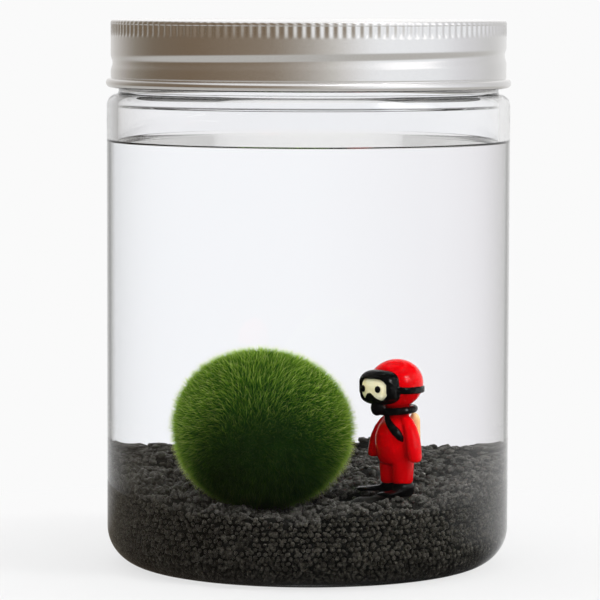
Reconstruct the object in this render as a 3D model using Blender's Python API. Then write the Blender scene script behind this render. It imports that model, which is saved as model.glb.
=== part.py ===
"""A marimo moss ball in its jar: glass jar, screw lid, water, gravel, ball and a small glass diver.

Metres, +Z up. The origin is the middle of the jar's foot ring, on the surface that the jar stands on.
The front of the jar faces -Y. The lid's thread is right-handed.
"""

from math import cos, exp, hypot, pi, radians, sin

import bmesh
import bpy
from mathutils import Matrix, Vector

# Driving dimensions -----------------------------------------------------------------------------
GAP = 0.0003               # left between pieces that touch
SEGMENTS = 48              # facets round the jar's axis

BODY_RADIUS = 0.0500       # jar
WALL = 0.0027
CORNER_RADIUS = 0.0095     # of the bottom's outer edge
FOOT_WIDTH = 0.0035
PUSH_UP = 0.0008           # height of the underside's middle over the foot ring
SHOULDER_BASE = 0.1142
SHOULDER_SWEEP = 75        # degrees of arc from the wall to the neck
NECK_RADIUS = 0.0471
NECK_WALL = 0.0026
RIM_HEIGHT = 0.1332
RIM_ROUND = 0.0008

LID_RADIUS = 0.0490        # lid
LID_TOP = 0.1353
LID_BOTTOM = 0.11865
LID_WALL = 0.0006
LID_CORNER = 0.00075
CURL_REACH = 0.0502        # outer radius of the curled lower edge
CURL_RADIUS = 0.0011
LINER_THICKNESS = 0.0010
LINER_EDGE_GAP = 0.0015    # from the liner's edge to the lid's wall

PITCH = 0.0254 / 6         # screw thread
GROOVE_BASE = 0.1222       # height of the lid's groove at +X, on its first turn
GROOVE_START, GROOVE_END = -10, 545
GROOVE_DEPTH = 0.00035     # cut into the lid's outside
GROOVE_RISE = 0.0010       # its other side, the lid's thread, stands this far inside the wall
RIB_START, RIB_END = 60, 410
RIB_RISE = 0.0007          # the jar's thread over its neck
RIB_OVER_GROOVE = 0.0019   # the jar's thread rides this far above the lid's
THREAD_ROOT = 0.0006       # how deep a thread's root is sunk, so that it joins
THREAD_FADE = 45           # degrees over which a thread's ends run out
FADE_FLOOR = 0.02          # share of its height that a thread keeps at its very end

WATER_LEVEL = 0.1055       # contents
GRAVEL_HEIGHT = 0.0225     # at the axis
GRAVEL_SLOPE = 0.078       # rise towards the back
DIP_DEPTH = 0.0022         # the gravel has sunk in front of the ball
DIP_CENTRE = Vector((-0.0050, -0.0380))
DIP_SPREAD = 0.0180
BALL_RADIUS = 0.0203       # to the fibres' tips
BALL_CENTRE = Vector((-0.0099, -0.0235, 0.0368))

DIVER_PLACE = Vector((0.0189, -0.0215, 0.0201))
DIVER_YAW = radians(-47)   # it looks to the left of the jar's front
HEAD_RADIUS = 0.0060
HEAD_HEIGHT = 0.0277
COLLAR_HEIGHT = 0.0207
SIDES = (("far", -1), ("near", 1))


# Scene and materials ----------------------------------------------------------------------------
def clear_scene():
    for obj in list(bpy.data.objects):
        bpy.data.objects.remove(obj, do_unlink=True)


def material(name, colour, roughness, metallic=0.0, transmission=0.0, ior=1.45):
    mat = bpy.data.materials.new(name)
    mat.use_nodes = True
    shader = mat.node_tree.nodes["Principled BSDF"]
    shader.inputs["Base Color"].default_value = (*colour, 1.0)
    shader.inputs["Roughness"].default_value = roughness
    shader.inputs["Metallic"].default_value = metallic
    shader.inputs["Transmission Weight"].default_value = transmission
    shader.inputs["IOR"].default_value = ior
    return mat


def mesh_object(name, bm, mat, smooth_angle=radians(35)):
    """Turn a bmesh into a named object with its faces pointing outwards."""
    bmesh.ops.recalc_face_normals(bm, faces=bm.faces)
    mesh = bpy.data.meshes.new(name)
    bm.to_mesh(mesh)
    bm.free()
    mesh.shade_smooth()
    mesh.set_sharp_from_angle(angle=smooth_angle)
    mesh.materials.append(mat)
    obj = bpy.data.objects.new(name, mesh)
    bpy.context.scene.collection.objects.link(obj)
    return obj


def cutter(obj):
    """A helper shape: it cuts or joins another object, and isn't a piece itself."""
    obj.hide_render = True
    obj.display_type = "WIRE"
    return obj


def boolean(target, tool, operation):
    modifier = target.modifiers.new(tool.name, "BOOLEAN")
    modifier.operation = operation
    modifier.object = cutter(tool)


# Shape helpers ----------------------------------------------------------------------------------
def arc(centre_r, centre_z, radius, start, end, steps):
    """Points (r, z) along an arc; the angles are in degrees from the outward direction."""
    points = []
    for i in range(steps + 1):
        angle = radians(start + (end - start) * i / steps)
        points.append((centre_r + radius * cos(angle), centre_z + radius * sin(angle)))
    return points


def ring(bm, radius, height_at, segments):
    """Vertices round Z at the height that height_at(x, y) gives. At radius 0 it is one vertex, repeated."""
    if radius == 0.0:
        return [bm.verts.new((0.0, 0.0, height_at(0.0, 0.0)))] * segments
    verts = []
    for i in range(segments):
        angle = 2 * pi * i / segments
        x, y = radius * cos(angle), radius * sin(angle)
        verts.append(bm.verts.new((x, y, height_at(x, y))))
    return verts


def skin(bm, rings):
    """Faces between neighbouring rings of vertices; a ring that is one point gets triangles."""
    segments = len(rings[0])
    for low, high in zip(rings, rings[1:]):
        for i in range(segments):
            j = (i + 1) % segments
            corners = []
            for vert in (low[i], low[j], high[j], high[i]):
                if vert not in corners:
                    corners.append(vert)
            bm.faces.new(corners)


def profile_rings(bm, profile, segments=SEGMENTS):
    return [ring(bm, radius, lambda x, y: height, segments) for radius, height in profile]


def lathe(profile, segments=SEGMENTS):
    """Turn a profile of (r, z) points round Z. One that starts and ends on the axis is closed
    there; any other is closed back to its first point."""
    bm = bmesh.new()
    rings = profile_rings(bm, profile, segments)
    if profile[0][0] > 0.0:
        rings.append(rings[0])
    skin(bm, rings)
    return bm


def torus(major, minor, height, segments=24, sides=8):
    profile = arc(major, height, minor, 0, 360 - 360 / sides, sides - 1)
    return lathe(profile, segments)


def helix(root, crest, root_width, crest_width, start, end, height_at):
    """A trapezoid swept along a screw thread. Its crest sinks back to the root at both ends."""
    bm = bmesh.new()
    steps = round((end - start) * SEGMENTS / 360)
    rings = []
    for i in range(steps + 1):
        degrees = start + (end - start) * i / steps
        fade = min(1.0, (degrees - start) / THREAD_FADE, (end - degrees) / THREAD_FADE)
        top = root + (crest - root) * max(fade, FADE_FLOOR)
        middle = height_at(degrees)
        corners = (
            (root, middle - root_width / 2),
            (top, middle - crest_width / 2),
            (top, middle + crest_width / 2),
            (root, middle + root_width / 2),
        )
        angle = radians(degrees)
        rings.append([bm.verts.new((r * cos(angle), r * sin(angle), z)) for r, z in corners])
    skin(bm, rings)
    bm.faces.new(rings[0])
    bm.faces.new(reversed(rings[-1]))
    return bm


def ellipsoid(centre, radii, u=16, v=10, power=1.0):
    """An ellipsoid; a power under 1 squares its corners off."""
    bm = bmesh.new()
    bmesh.ops.create_uvsphere(bm, u_segments=u, v_segments=v, radius=1.0)
    for vert in bm.verts:
        if power != 1.0:
            for axis in range(3):
                value = vert.co[axis]
                vert.co[axis] = abs(value) ** power * (1 if value > 0 else -1)
        vert.co = Vector(centre) + Vector(a * b for a, b in zip(vert.co, radii))
    return bm


def tube(points, radii, sides=8):
    """A round bar through the points, with its own radius at each."""
    bm = bmesh.new()
    points = [Vector(point) for point in points]
    rings = []
    for i, (point, radius) in enumerate(zip(points, radii)):
        along = (points[min(i + 1, len(points) - 1)] - points[max(i - 1, 0)]).normalized()
        turn = Vector((0, 0, 1)).rotation_difference(along)
        verts = []
        for side in range(sides):
            angle = 2 * pi * side / sides
            offset = Vector((radius * cos(angle), radius * sin(angle), 0.0))
            verts.append(bm.verts.new(point + turn @ offset))
        rings.append(verts)
    skin(bm, rings)
    bm.faces.new(rings[0])
    bm.faces.new(reversed(rings[-1]))
    return bm


# Jar and lid ------------------------------------------------------------------------------------
def jar_inside(inset):
    """The jar's inner surface from its floor's centre to its wall, moved inwards by inset."""
    corner = BODY_RADIUS - CORNER_RADIUS
    points = [(0.0, WALL + inset)]
    points += arc(corner, CORNER_RADIUS, CORNER_RADIUS - WALL - inset, -90, 0, 5)
    return points


def jar_profile():
    corner = BODY_RADIUS - CORNER_RADIUS
    foot = corner - FOOT_WIDTH
    shoulder = BODY_RADIUS - NECK_RADIUS
    inner_neck = NECK_RADIUS - NECK_WALL
    inner_shoulder = BODY_RADIUS - WALL - inner_neck
    rim = RIM_HEIGHT - RIM_ROUND
    profile = [(0.0, PUSH_UP), (foot - 2 * PUSH_UP, PUSH_UP), (foot, 0.0)]
    profile += arc(corner, CORNER_RADIUS, CORNER_RADIUS, -90, 0, 7)
    profile += arc(NECK_RADIUS, SHOULDER_BASE, shoulder, 0, SHOULDER_SWEEP, 4)
    profile += [(NECK_RADIUS, SHOULDER_BASE + shoulder + GAP)]
    profile += arc(NECK_RADIUS - RIM_ROUND, rim, RIM_ROUND, 0, 90, 2)
    profile += arc(inner_neck + RIM_ROUND, rim, RIM_ROUND, 90, 180, 2)
    profile += reversed(arc(inner_neck, SHOULDER_BASE - WALL, inner_shoulder, 0, 90, 3))
    profile += reversed(jar_inside(0.0))
    return profile


def groove_height(degrees):
    return GROOVE_BASE + PITCH * degrees / 360


def rib_height(degrees):
    return groove_height(degrees) + RIB_OVER_GROOVE


def make_jar():
    glass = material("clear_glass", (0.95, 0.97, 0.98), 0.02, transmission=1.0, ior=1.5)
    jar = mesh_object("jar", lathe(jar_profile()), glass)
    rib = helix(
        NECK_RADIUS - THREAD_ROOT, NECK_RADIUS + RIB_RISE, 0.0022, 0.0008, RIB_START, RIB_END, rib_height
    )
    boolean(jar, mesh_object("jar_rib", rib, glass), "UNION")


def lid_profile():
    inner = LID_RADIUS - LID_WALL
    curl_middle = CURL_REACH - CURL_RADIUS
    curl_height = LID_BOTTOM + CURL_RADIUS
    curl_top = curl_height + 1.25 * CURL_RADIUS
    profile = [(0.0, LID_TOP)]
    profile += arc(LID_RADIUS - LID_CORNER, LID_TOP - LID_CORNER, LID_CORNER, 90, 0, 2)
    profile += [(LID_RADIUS, curl_top)]
    profile += arc(curl_middle, curl_height, CURL_RADIUS, 80, -190, 9)
    profile += [(inner, curl_top), (inner, LID_TOP - LID_WALL), (0.0, LID_TOP - LID_WALL)]
    return profile


def make_lid():
    """The groove rolled into the wall is cut outside and stands proud inside, at one height."""
    aluminium = material("spun_aluminium", (0.72, 0.71, 0.69), 0.32, metallic=1.0)
    lid = mesh_object("lid", lathe(lid_profile()), aluminium)
    inner = LID_RADIUS - LID_WALL
    turns = (GROOVE_START, GROOVE_END, groove_height)
    inside = helix(inner + THREAD_ROOT / 2, inner - GROOVE_RISE, 0.0028, 0.0009, *turns)
    outside = helix(LID_RADIUS + THREAD_ROOT, LID_RADIUS - GROOVE_DEPTH, 0.0034, 0.0009, *turns)
    boolean(lid, mesh_object("lid_rib", inside, aluminium), "UNION")
    boolean(lid, mesh_object("lid_groove", outside, aluminium), "DIFFERENCE")


def make_liner():
    foam = material("white_liner", (0.9, 0.9, 0.88), 0.6)
    top = LID_TOP - LID_WALL - GAP
    edge = LID_RADIUS - LID_WALL - LINER_EDGE_GAP
    profile = [(0.0, top - LINER_THICKNESS), (edge, top - LINER_THICKNESS), (edge, top), (0.0, top)]
    mesh_object("lid_liner", lathe(profile), foam)


# Contents ---------------------------------------------------------------------------------------
def gravel_top(x, y):
    """Height of the gravel's surface: a slope up to the back with low mounds and one dip."""
    mounds = 0.0006 * sin(150 * x + 0.6) * sin(120 * y + 1.1) + 0.0003 * sin(310 * x - 190 * y)
    from_dip = hypot(x - DIP_CENTRE.x, y - DIP_CENTRE.y) / DIP_SPREAD
    return GRAVEL_HEIGHT + GRAVEL_SLOPE * y + mounds - DIP_DEPTH * exp(-0.5 * from_dip * from_dip)


def surface_rings(bm, lift, radius, steps=6):
    """Rings of vertices on the gravel's surface, from the wall in to a single one at the axis."""
    radii = [radius * (steps - step) / steps for step in range(steps + 1)]
    return [ring(bm, r, lambda x, y: gravel_top(x, y) + lift, SEGMENTS) for r in radii]


def make_gravel(hollows):
    soil = material("dark_gravel", (0.035, 0.033, 0.028), 0.8)
    bm = bmesh.new()
    skin(bm, profile_rings(bm, jar_inside(GAP)) + surface_rings(bm, 0.0, BODY_RADIUS - WALL - GAP))
    gravel = mesh_object("gravel", bm, soil)
    for hollow in hollows:
        boolean(gravel, hollow, "DIFFERENCE")


def make_water(hollows):
    clear = material("water", (0.96, 0.98, 1.0), 0.0, transmission=1.0, ior=1.333)
    radius = BODY_RADIUS - WALL - GAP
    surface = [(0.0, WATER_LEVEL), (radius, WATER_LEVEL)]
    bm = bmesh.new()
    skin(bm, profile_rings(bm, surface) + surface_rings(bm, GAP, radius))
    water = mesh_object("water", bm, clear)
    for hollow in hollows:
        boolean(water, hollow, "DIFFERENCE")


def moss_ball(name, mat, grow=0.0):
    """The ball is never quite round: a few low lobes go round it."""
    radius = BALL_RADIUS + grow
    bm = ellipsoid((0, 0, 0), (radius, radius, radius), u=28, v=18)
    for vert in bm.verts:
        direction = vert.co.normalized()
        lobes = sin(2.3 * direction.x + 1.0) * sin(2.9 * direction.y) + 0.6 * sin(3.7 * direction.z + 0.4)
        vert.co += direction * 0.0002 * lobes
    bmesh.ops.translate(bm, verts=bm.verts, vec=BALL_CENTRE)
    return mesh_object(name, bm, mat)


# Diver ------------------------------------------------------------------------------------------
# Every diver shape is made looking along -Y with its feet at the origin, then set in its place.
# Its near side, the one towards the jar's front, is +X.
def set_in_place(obj):
    obj.rotation_euler = (0.0, 0.0, DIVER_YAW)
    obj.location = DIVER_PLACE
    return obj


def fused(name, shapes, mat, hollows=()):
    """One solid from several overlapping shapes, with the hollows cut out of it."""
    first, *others = [mesh_object(f"{name}_{i}", bm, mat) for i, bm in enumerate(shapes)]
    first.name = name
    set_in_place(first)
    for other in others:
        boolean(first, set_in_place(other), "UNION")
    for i, bm in enumerate(hollows):
        boolean(first, set_in_place(mesh_object(f"{name}_hollow_{i}", bm, mat)), "DIFFERENCE")
    return first


def head(grow=0.0):
    radius = HEAD_RADIUS + grow
    return ellipsoid((0, 0, HEAD_HEIGHT), (radius, radius, radius), u=24, v=14)


def torso(grow=0.0):
    radii = [radius + grow for radius in (0.0042, 0.0034, 0.0070)]
    return ellipsoid((0, 0, 0.0132), radii, u=18, v=12, power=0.85)


def face(grow=0.0):
    radii = [radius + grow for radius in (0.0036, 0.0038, 0.0025)]
    return ellipsoid((0, -0.0042, HEAD_HEIGHT), radii, u=20, v=10, power=0.8)


def make_suit(mat):
    neck = tube([(0, 0, 0.0180), (0, 0, 0.0230)], (0.0022, 0.0022), sides=14)
    shapes = [head(), torso(), neck]
    for (_, side), swing in zip(SIDES, (-0.0013, 0.0006)):
        leg = tube([(side * 0.0020, 0, 0.0040), (side * 0.0021, 0, 0.0105)], (0.0021, 0.0021), sides=14)
        arm = ellipsoid((side * 0.0046, swing, 0.0142), (0.0013, 0.0021, 0.0056), u=12, v=8)
        shapes += [leg, arm]
    return fused("diver_suit", shapes, mat)


def make_mask(mat):
    """The mask's frame wraps the front of the hood, and its strap goes round the hood."""
    radii = (0.0050, 0.0042, 0.0042)
    frame = ellipsoid((0, -0.0036, HEAD_HEIGHT - 0.0007), radii, u=20, v=12, power=0.7)
    low, high = HEAD_HEIGHT - 0.0022, HEAD_HEIGHT - 0.0005
    inner, outer = HEAD_RADIUS - 0.0009, HEAD_RADIUS + 0.0004
    strap = lathe([(inner, low), (outer, low), (outer, high), (inner, high)], 24)
    return fused("diver_mask", [frame, strap], mat, [head(GAP), face(GAP)])


def make_face(mat):
    return fused("diver_face", [face()], mat, [head(GAP)])


def make_hose(mat):
    """The regulator hangs on a thick collar, and a hose runs from the collar under the near arm."""
    collar = torus(0.0034, 0.00085, COLLAR_HEIGHT)
    regulator = ellipsoid((-0.0002, -0.0051, COLLAR_HEIGHT), (0.0015, 0.0015, 0.0011), u=12, v=8)
    path = [
        (0.0003, -0.0038, 0.0203),
        (0.0012, -0.0040, 0.0184),
        (0.0025, -0.0034, 0.0163),
        (0.0036, -0.0024, 0.0145),
    ]
    chest_hose = tube(path, (0.0006, 0.0007, 0.0007, 0.0003))
    return fused("diver_hose", [collar, regulator, chest_hose], mat, [torso(GAP)])


def make_tank(mat):
    profile = [(0.0, 0.0095), *arc(0.0011, 0.0103, 0.0008, -90, 0, 3)]
    profile += [*arc(0.0009, 0.0181, 0.0010, 0, 90, 4), (0.0, 0.0191)]
    bottle = lathe(profile, 16)
    bmesh.ops.translate(bottle, verts=bottle.verts, vec=(0.0, 0.0058, 0.0))
    return fused("diver_tank", [bottle], mat)


def make_fin(name, side, splay, mat):
    """A boot with its swim fin, turned by splay about the boot."""
    boot = ellipsoid((0, 0, 0.0018), (0.0018, 0.0021, 0.0018), u=12, v=8, power=0.8)
    blade = ellipsoid((0, -0.0035, 0.0009), (0.0017, 0.0034, 0.0007), u=14, v=6, power=0.75)
    for shape in (boot, blade):
        bmesh.ops.rotate(shape, verts=shape.verts, matrix=Matrix.Rotation(splay, 3, "Z"))
        bmesh.ops.translate(shape, verts=shape.verts, vec=(side * 0.0021, 0.0, 0.0))
    return fused(name, [boot, blade], mat)


def make_diver():
    red = material("red_glass", (0.62, 0.0, 0.005), 0.08)
    black = material("black_glass", (0.008, 0.008, 0.009), 0.08)
    cream = material("cream_glass", (0.80, 0.72, 0.46), 0.08)
    amber = material("amber_glass", (0.72, 0.45, 0.2), 0.1)
    pieces = [make_suit(red), make_mask(black), make_face(cream), make_hose(black), make_tank(amber)]
    for (name, side), splay in zip(SIDES, (-46, 12)):
        pieces.append(make_fin(f"diver_fin_{name}", side, radians(splay), black))
    return pieces


def diver_hollow(pieces):
    """The space round the diver that the gravel and the water leave: its hull, a little larger."""
    bpy.context.view_layer.update()
    graph = bpy.context.evaluated_depsgraph_get()
    bm = bmesh.new()
    for piece in pieces:
        evaluated = piece.evaluated_get(graph)
        for vert in evaluated.data.vertices:
            bm.verts.new(evaluated.matrix_world @ vert.co)
    hull = bmesh.ops.convex_hull(bm, input=bm.verts)
    spare = set(hull["geom_interior"] + hull["geom_unused"])
    inside = [item for item in spare if isinstance(item, bmesh.types.BMVert)]
    bmesh.ops.delete(bm, geom=inside, context="VERTS")
    bmesh.ops.recalc_face_normals(bm, faces=bm.faces)
    bmesh.ops.dissolve_limit(bm, angle_limit=radians(9), verts=bm.verts, edges=bm.edges)
    bmesh.ops.triangulate(bm, faces=bm.faces)
    middle = sum((vert.co for vert in bm.verts), Vector()) / len(bm.verts)
    for vert in bm.verts:
        vert.co += (vert.co - middle).normalized() * 2.5 * GAP
    return mesh_object("diver_hollow", bm, pieces[0].data.materials[0])


def main():
    clear_scene()
    make_jar()
    make_lid()
    make_liner()
    moss = material("moss_green", (0.10, 0.20, 0.02), 0.9)
    moss_ball("moss_ball", moss)
    hollows = [moss_ball("ball_hollow", moss, grow=1.5 * GAP), diver_hollow(make_diver())]
    make_gravel(hollows)
    make_water(hollows)


main()
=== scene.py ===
"""Looks of the marimo moss ball in its jar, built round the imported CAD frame.

Metres, +Z up. The jar stands on z = 0 with its axis on Z, and its front faces -Y.
"""

from math import cos, pi, radians, sin

import bmesh
import bpy
import numpy as np
from mathutils import Matrix, Vector


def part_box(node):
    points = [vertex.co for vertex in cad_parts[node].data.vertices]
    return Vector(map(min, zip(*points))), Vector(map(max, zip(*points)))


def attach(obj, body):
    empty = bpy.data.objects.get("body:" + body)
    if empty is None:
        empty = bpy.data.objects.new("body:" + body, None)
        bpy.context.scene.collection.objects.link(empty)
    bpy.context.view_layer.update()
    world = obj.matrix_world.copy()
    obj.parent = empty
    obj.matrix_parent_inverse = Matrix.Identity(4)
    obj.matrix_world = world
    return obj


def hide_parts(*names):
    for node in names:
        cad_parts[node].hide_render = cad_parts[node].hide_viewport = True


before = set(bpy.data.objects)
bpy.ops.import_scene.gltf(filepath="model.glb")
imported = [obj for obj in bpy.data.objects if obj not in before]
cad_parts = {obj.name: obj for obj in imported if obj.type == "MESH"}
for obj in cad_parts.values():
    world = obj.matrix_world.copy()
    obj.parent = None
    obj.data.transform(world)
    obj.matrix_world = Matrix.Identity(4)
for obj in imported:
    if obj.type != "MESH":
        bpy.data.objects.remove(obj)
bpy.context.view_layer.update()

# Driving dimensions -----------------------------------------------------------------------------
MM = 0.001

# Jar
BODY_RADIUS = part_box("jar")[1].x
RIM_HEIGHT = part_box("jar")[1].z
WALL = 2.7 * MM
CORNER_RADIUS = 9.5 * MM
FOOT_WIDTH = 3.5 * MM
PUSH_UP = 0.8 * MM
SHOULDER_BASE = 114.2 * MM
NECK_RADIUS = 47.1 * MM
NECK_WALL = 2.6 * MM
INNER_DROP = 0.5 * MM          # how much lower the shoulder starts inside than outside
NECK_FILLET = 0.7 * MM         # where the shoulder turns up into the neck
NECK_FILLET_RISE = 0.55 * MM   # of its middle over the shoulder's top
INNER_FILLET = 0.15 * MM
RIM_ROUND = 0.8 * MM
INNER_RADIUS = BODY_RADIUS - WALL

# Lid
CURL_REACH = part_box("lid")[1].x
LID_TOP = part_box("lid")[1].z
LID_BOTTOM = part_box("lid")[0].z
LID_RADIUS = 49.0 * MM
LID_WALL = 0.6 * MM
LID_CORNER = 0.75 * MM
LID_DISH = 0.05 * MM           # how much lower the lid's top lies inside its rim
BAND_BOTTOM = 128.6 * MM       # where the plain band under the knurls ends
CURL_RADIUS = 1.1 * MM
CURL_HEIGHT = 1.12 * MM        # half the curl's height
KNURLS = 145
KNURL_DEPTH = 0.28 * MM
KNURL_TOP, KNURL_BOTTOM = 134.7 * MM, 130.9 * MM

# Screw thread: its starts, ends and fades are in degrees
PITCH = 25.4 * MM / 6
GROOVE_BASE = 122.5 * MM       # the groove's height at 0 degrees, which is towards +X
GROOVE_START, GROOVE_END = -10, 545
GROOVE_DEPTH = 0.45 * MM
GROOVE_HALF_WIDTH = 2.15 * MM
INNER_THREAD_DEPTH = 0.9 * MM  # the groove as it stands out inside the lid
INNER_THREAD_HALF_WIDTH = 1.4 * MM
RIB_START, RIB_END = 60, 410
RIB_RISE = 0.7 * MM
RIB_HALF_WIDTH = 1.1 * MM
RIB_OVER_GROOVE = 1.6 * MM
THREAD_FADE = 45

# What is in the jar
WATER_LEVEL = 105.1 * MM
MENISCUS_RISE = 0.7 * MM
MENISCUS_REACH = 0.75 * MM
GRAVEL_HEIGHT = 22.5 * MM
GRAVEL_SLOPE = 0.078
FRONT_DIP = 2.2 * MM           # how far the gravel has sunk in front of the ball
DIP_CENTRE = Vector((-5.0, -38.0)) * MM
DIP_SPREAD = 18.0 * MM
HOLLOW = 0.9 * MM              # how far the ball's weight has pressed the ground down
HOLLOW_SPREAD = 17 * MM
GROUND_HEIGHT = 0.30 * MM      # how high each of the ground's waves is
GRAIN = 1.55 * MM              # a grain's mean width
GLASS_GAP = 0.1 * MM           # from the glass to the gravel, but for its sharpest corners
BALL_CENTRE = Vector((-9.9, -23.5, 36.8)) * MM
BALL_RADIUS = 20.5 * MM        # to the tips of nearly all the fibres
FIBRE_LENGTH = 3.2 * MM
FIBRE_WIDTH = 0.055 * MM       # half a fibre's mean width
FIBRE_DROOP = 0.12 * MM
FIBRES = 60000
PAINTED_SHADE_SIDE = Vector((0.0, -0.75, -0.65))      # where painted shade makes the ball's green darkest
DIVER_PLACE = Vector((18.9, -21.5, 20.1)) * MM
DIVER_YAW = radians(-47)
LEVEL_GROUND = 8.5 * MM        # the radius of the patch where no grain stands over the diver's feet
LEVEL_FROM_DIVER = Vector((-2.0, -4.0)) * MM    # that patch's middle

# The diver's own sizes are in millimetres. It looks along -Y with its feet at the origin, and +X is
# its near side.
HEAD_HEIGHT = 27.7
HEAD_RADIUS = 6.0
HEAD_FORWARD = -0.3
MASK_HEIGHT = HEAD_HEIGHT - 0.9
ARM_PIVOT = 22                 # the height that the arms swing from
LEG_APART = 2.1
STRAP_RADIUS = 0.42
COLLAR_RADIUS, COLLAR_HEIGHT = 3.6, 21.3

# Camera and floor
CAMERA_PLACE = Vector((0.0, -0.92376, 0.14376))
CAMERA_TURN, CAMERA_DOWN, CAMERA_ROLL = radians(0.123), radians(4.832), radians(0.142)
LENS, SENSOR_WIDTH = 223.2, 36.0            # millimetres
FLOOR_RADIUS = 0.17

# Refractive indices
GLASS_INDEX = 1.5
WATER_INDEX = 1.333

rng = np.random.default_rng(7)


# Node trees -------------------------------------------------------------------------------------
def node(tree, kind, inputs=(), **settings):
    """Add a node. Its inputs are (name, value or socket) pairs."""
    made = tree.nodes.new(kind)
    for name, value in settings.items():
        setattr(made, name, value)
    for name, value in inputs:
        if isinstance(value, bpy.types.NodeSocket):
            tree.links.new(value, made.inputs[name])
        else:
            made.inputs[name].default_value = value
    return made


def maths(tree, operation, a, b=0.0, c=0.0, clamp=False):
    made = node(tree, "ShaderNodeMath", [(0, a), (1, b), (2, c)], operation=operation, use_clamp=clamp)
    return made.outputs[0]


def between(tree, value, low, high, to_low=0.0, to_high=1.0):
    """The value's place from low to high, eased at both ends."""
    pairs = [("Value", value), ("From Min", low), ("From Max", high)]
    pairs += [("To Min", to_low), ("To Max", to_high)]
    made = node(tree, "ShaderNodeMapRange", pairs, interpolation_type="SMOOTHSTEP")
    return made.outputs[0]


def ramp(tree, value, stops):
    """A run of colours over 0 to 1, through stops of (place, colour)."""
    made = node(tree, "ShaderNodeValToRGB", [("Fac", value)])
    elements = made.color_ramp.elements
    while len(elements) < len(stops):
        elements.new(0.5)
    for element, (place, colour) in zip(elements, stops):
        element.position = place
        element.color = (*colour, 1.0)
    return made.outputs["Color"]


def grey(level):
    return (level, level, level, 1.0)


def mixed(tree, factor, a, b, blend="MIX"):
    pairs = [(0, factor), (6, a), (7, b)]
    made = node(tree, "ShaderNodeMix", pairs, data_type="RGBA", blend_type=blend)
    return made.outputs[2]


def surface(name):
    """A new material and its Principled shader."""
    made = bpy.data.materials.new(name)
    made.use_nodes = True
    return made, made.node_tree, made.node_tree.nodes["Principled BSDF"]


def noise(tree, vector, scale, detail=3.0):
    pairs = [("Vector", vector), ("Scale", scale), ("Detail", detail)]
    return node(tree, "ShaderNodeTexNoise", pairs).outputs["Fac"]


def place(tree):
    """Object coordinates, which ride with the piece."""
    return node(tree, "ShaderNodeTexCoord").outputs["Object"]


def length_of(tree, vector):
    return node(tree, "ShaderNodeVectorMath", [(0, vector)], operation="LENGTH").outputs["Value"]


def mix_shaders(tree, factor, first, second):
    """The surface: the first shader, or the second one by the factor."""
    both = node(tree, "ShaderNodeMixShader", [(0, factor), (1, first.outputs[0]), (2, second.outputs[0])])
    tree.links.new(both.outputs[0], tree.nodes["Material Output"].inputs["Surface"])


def bump(tree, shader, height, strength, distance):
    pairs = [("Height", height), ("Strength", strength), ("Distance", distance)]
    made = node(tree, "ShaderNodeBump", pairs)
    tree.links.new(made.outputs["Normal"], shader.inputs["Normal"])


# Meshes -----------------------------------------------------------------------------------------
def put_in_scene(name, mesh):
    obj = bpy.data.objects.new(name, mesh)
    bpy.context.scene.collection.objects.link(obj)
    return obj


def new_object(name, verts, faces, materials, slots=None):
    mesh = bpy.data.meshes.new(name)
    mesh.from_pydata(np.asarray(verts).tolist(), [], faces)
    for material in materials:
        mesh.materials.append(material)
    if slots is not None:
        mesh.polygons.foreach_set("material_index", np.asarray(slots, np.int32))
    mesh.polygons.foreach_set("use_smooth", np.ones(len(mesh.polygons), bool))
    mesh.update()
    return put_in_scene(name, mesh)


def wrapped(rings):
    """Vertices, faces and each face's row, through rings of equally many points. A ring of one
    point is a pole."""
    verts = np.concatenate(rings)
    starts = np.cumsum([0] + [len(ring) for ring in rings])
    faces, rows = [], []
    count = max(len(ring) for ring in rings)
    around = np.arange(count)
    after = (around + 1) % count
    for row, (low, high) in enumerate(zip(rings, rings[1:])):
        a, b = starts[row], starts[row + 1]
        if len(low) == 1:
            made = np.stack([np.full(count, a), b + after, b + around], 1)
        elif len(high) == 1:
            made = np.stack([a + around, a + after, np.full(count, b)], 1)
        else:
            made = np.stack([a + around, a + after, b + after, b + around], 1)
        faces += made.tolist()
        rows += [row] * count
    return verts, faces, np.array(rows)


def arc(centre_r, centre_z, radius, start, end, steps):
    """Points (r, z) along an arc; the angles are in degrees from the outward direction."""
    angles = np.radians(np.linspace(start, end, steps + 1))
    return list(zip(centre_r + radius * np.cos(angles), centre_z + radius * np.sin(angles)))


def round_ring(radius, segments):
    """Points (x, y) round the axis."""
    angle = 2 * pi * np.arange(segments) / segments
    return radius * np.cos(angle), radius * np.sin(angle)


def smooth_step(share):
    return share * share * (3 - 2 * share)


def unit(vectors):
    return vectors / np.linalg.norm(vectors, axis=1, keepdims=True)


def straight(start, end, steps):
    """Points from start to end, without start itself."""
    shares = np.linspace(0, 1, steps + 1)[1:, None]
    return [tuple(p) for p in np.array(start) * (1 - shares) + np.array(end) * shares]


def turned(profile, segments, relief=None):
    """Rings from (r, z) points. relief(angle, r, z) gives what is added to the radius."""
    angle = 2 * pi * np.arange(segments) / segments
    rings = []
    for radius, height in profile:
        if radius == 0.0:
            rings.append(np.array([[0.0, 0.0, height]]))
            continue
        r = radius + (relief(angle, radius, height) if relief else 0.0)
        rings.append(np.stack([r * np.cos(angle), r * np.sin(angle), np.full(segments, height)], 1))
    return rings


# Screw thread -----------------------------------------------------------------------------------
def thread(angle, z, base, start, end, half_width):
    """How much of a thread's full height there is at an angle and height, from 0 to 1."""
    total = np.zeros_like(angle)
    for turn in range(-1, 3):
        degrees = np.degrees(angle) + 360 * turn
        fade = np.clip(np.minimum(degrees - start, end - degrees) / THREAD_FADE, 0, 1)
        off = np.clip(np.abs(z - base - PITCH * degrees / 360) / half_width, 0, 1)
        total = np.maximum(total, smooth_step(fade) * (0.5 + 0.5 * np.cos(pi * off)))
    return total


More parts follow.
